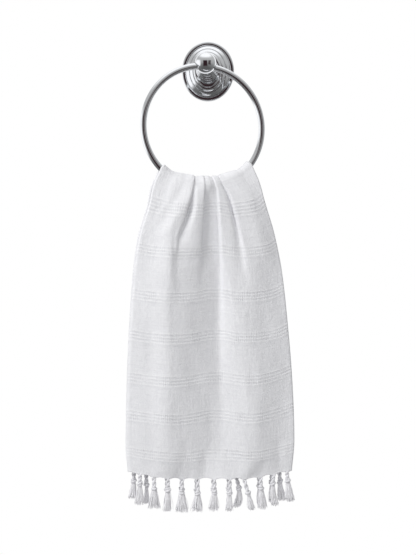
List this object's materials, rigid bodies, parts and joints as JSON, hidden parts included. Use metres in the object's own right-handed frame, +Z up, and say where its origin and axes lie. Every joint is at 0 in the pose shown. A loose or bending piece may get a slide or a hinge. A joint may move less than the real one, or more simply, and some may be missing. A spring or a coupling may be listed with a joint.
{
  "type": "hand towel on a towel ring",
  "caption": "Fringed cotton hand towel, folded lengthwise and hung through a chrome wall towel ring with a ball knob and an oval stepped wall plate.",
  "frame": {"origin": "centre of the wall plate's flat back, on the wall", "axes": "+Z up along the towel's length, +Y into the wall, +X to the right as seen from the front"},
  "size_m": [0.2183, 0.0887, 0.6173],
  "materials": {
    "towel_cotton": "plain woven white cotton with raised weft cords in groups of four",
    "tassel_cotton": "twisted and knotted white cotton yarn",
    "chrome": "polished chrome plate"
  },
  "bodies": {
    "root": {"wall_plate": "chrome", "post": "chrome", "knob": "chrome", "ring": "chrome", "towel": "towel_cotton", "tassel_front_outer_01": "tassel_cotton", "tassel_front_outer_02": "tassel_cotton", "tassel_front_outer_03": "tassel_cotton", "tassel_front_outer_04": "tassel_cotton", "tassel_front_outer_05": "tassel_cotton", "tassel_front_outer_06": "tassel_cotton", "tassel_front_outer_07": "tassel_cotton", "tassel_front_outer_08": "tassel_cotton", "tassel_front_outer_09": "tassel_cotton", "tassel_front_outer_10": "tassel_cotton", "tassel_front_outer_11": "tassel_cotton", "tassel_front_inner_01": "tassel_cotton", "tassel_front_inner_02": "tassel_cotton", "tassel_front_inner_03": "tassel_cotton", "tassel_front_inner_04": "tassel_cotton", "tassel_front_inner_05": "tassel_cotton", "tassel_front_inner_06": "tassel_cotton", "tassel_front_inner_07": "tassel_cotton", "tassel_front_inner_08": "tassel_cotton", "tassel_front_inner_09": "tassel_cotton", "tassel_front_inner_10": "tassel_cotton", "tassel_front_inner_11": "tassel_cotton", "tassel_rear_outer_01": "tassel_cotton", "tassel_rear_outer_02": "tassel_cotton", "tassel_rear_outer_03": "tassel_cotton", "tassel_rear_outer_04": "tassel_cotton", "tassel_rear_outer_05": "tassel_cotton", "tassel_rear_outer_06": "tassel_cotton", "tassel_rear_outer_07": "tassel_cotton", "tassel_rear_outer_08": "tassel_cotton", "tassel_rear_outer_09": "tassel_cotton", "tassel_rear_outer_10": "tassel_cotton", "tassel_rear_outer_11": "tassel_cotton", "tassel_rear_inner_01": "tassel_cotton", "tassel_rear_inner_02": "tassel_cotton", "tassel_rear_inner_03": "tassel_cotton", "tassel_rear_inner_04": "tassel_cotton", "tassel_rear_inner_05": "tassel_cotton", "tassel_rear_inner_06": "tassel_cotton", "tassel_rear_inner_07": "tassel_cotton", "tassel_rear_inner_08": "tassel_cotton", "tassel_rear_inner_09": "tassel_cotton", "tassel_rear_inner_10": "tassel_cotton", "tassel_rear_inner_11": "tassel_cotton"}
  },
  "joints": []
}
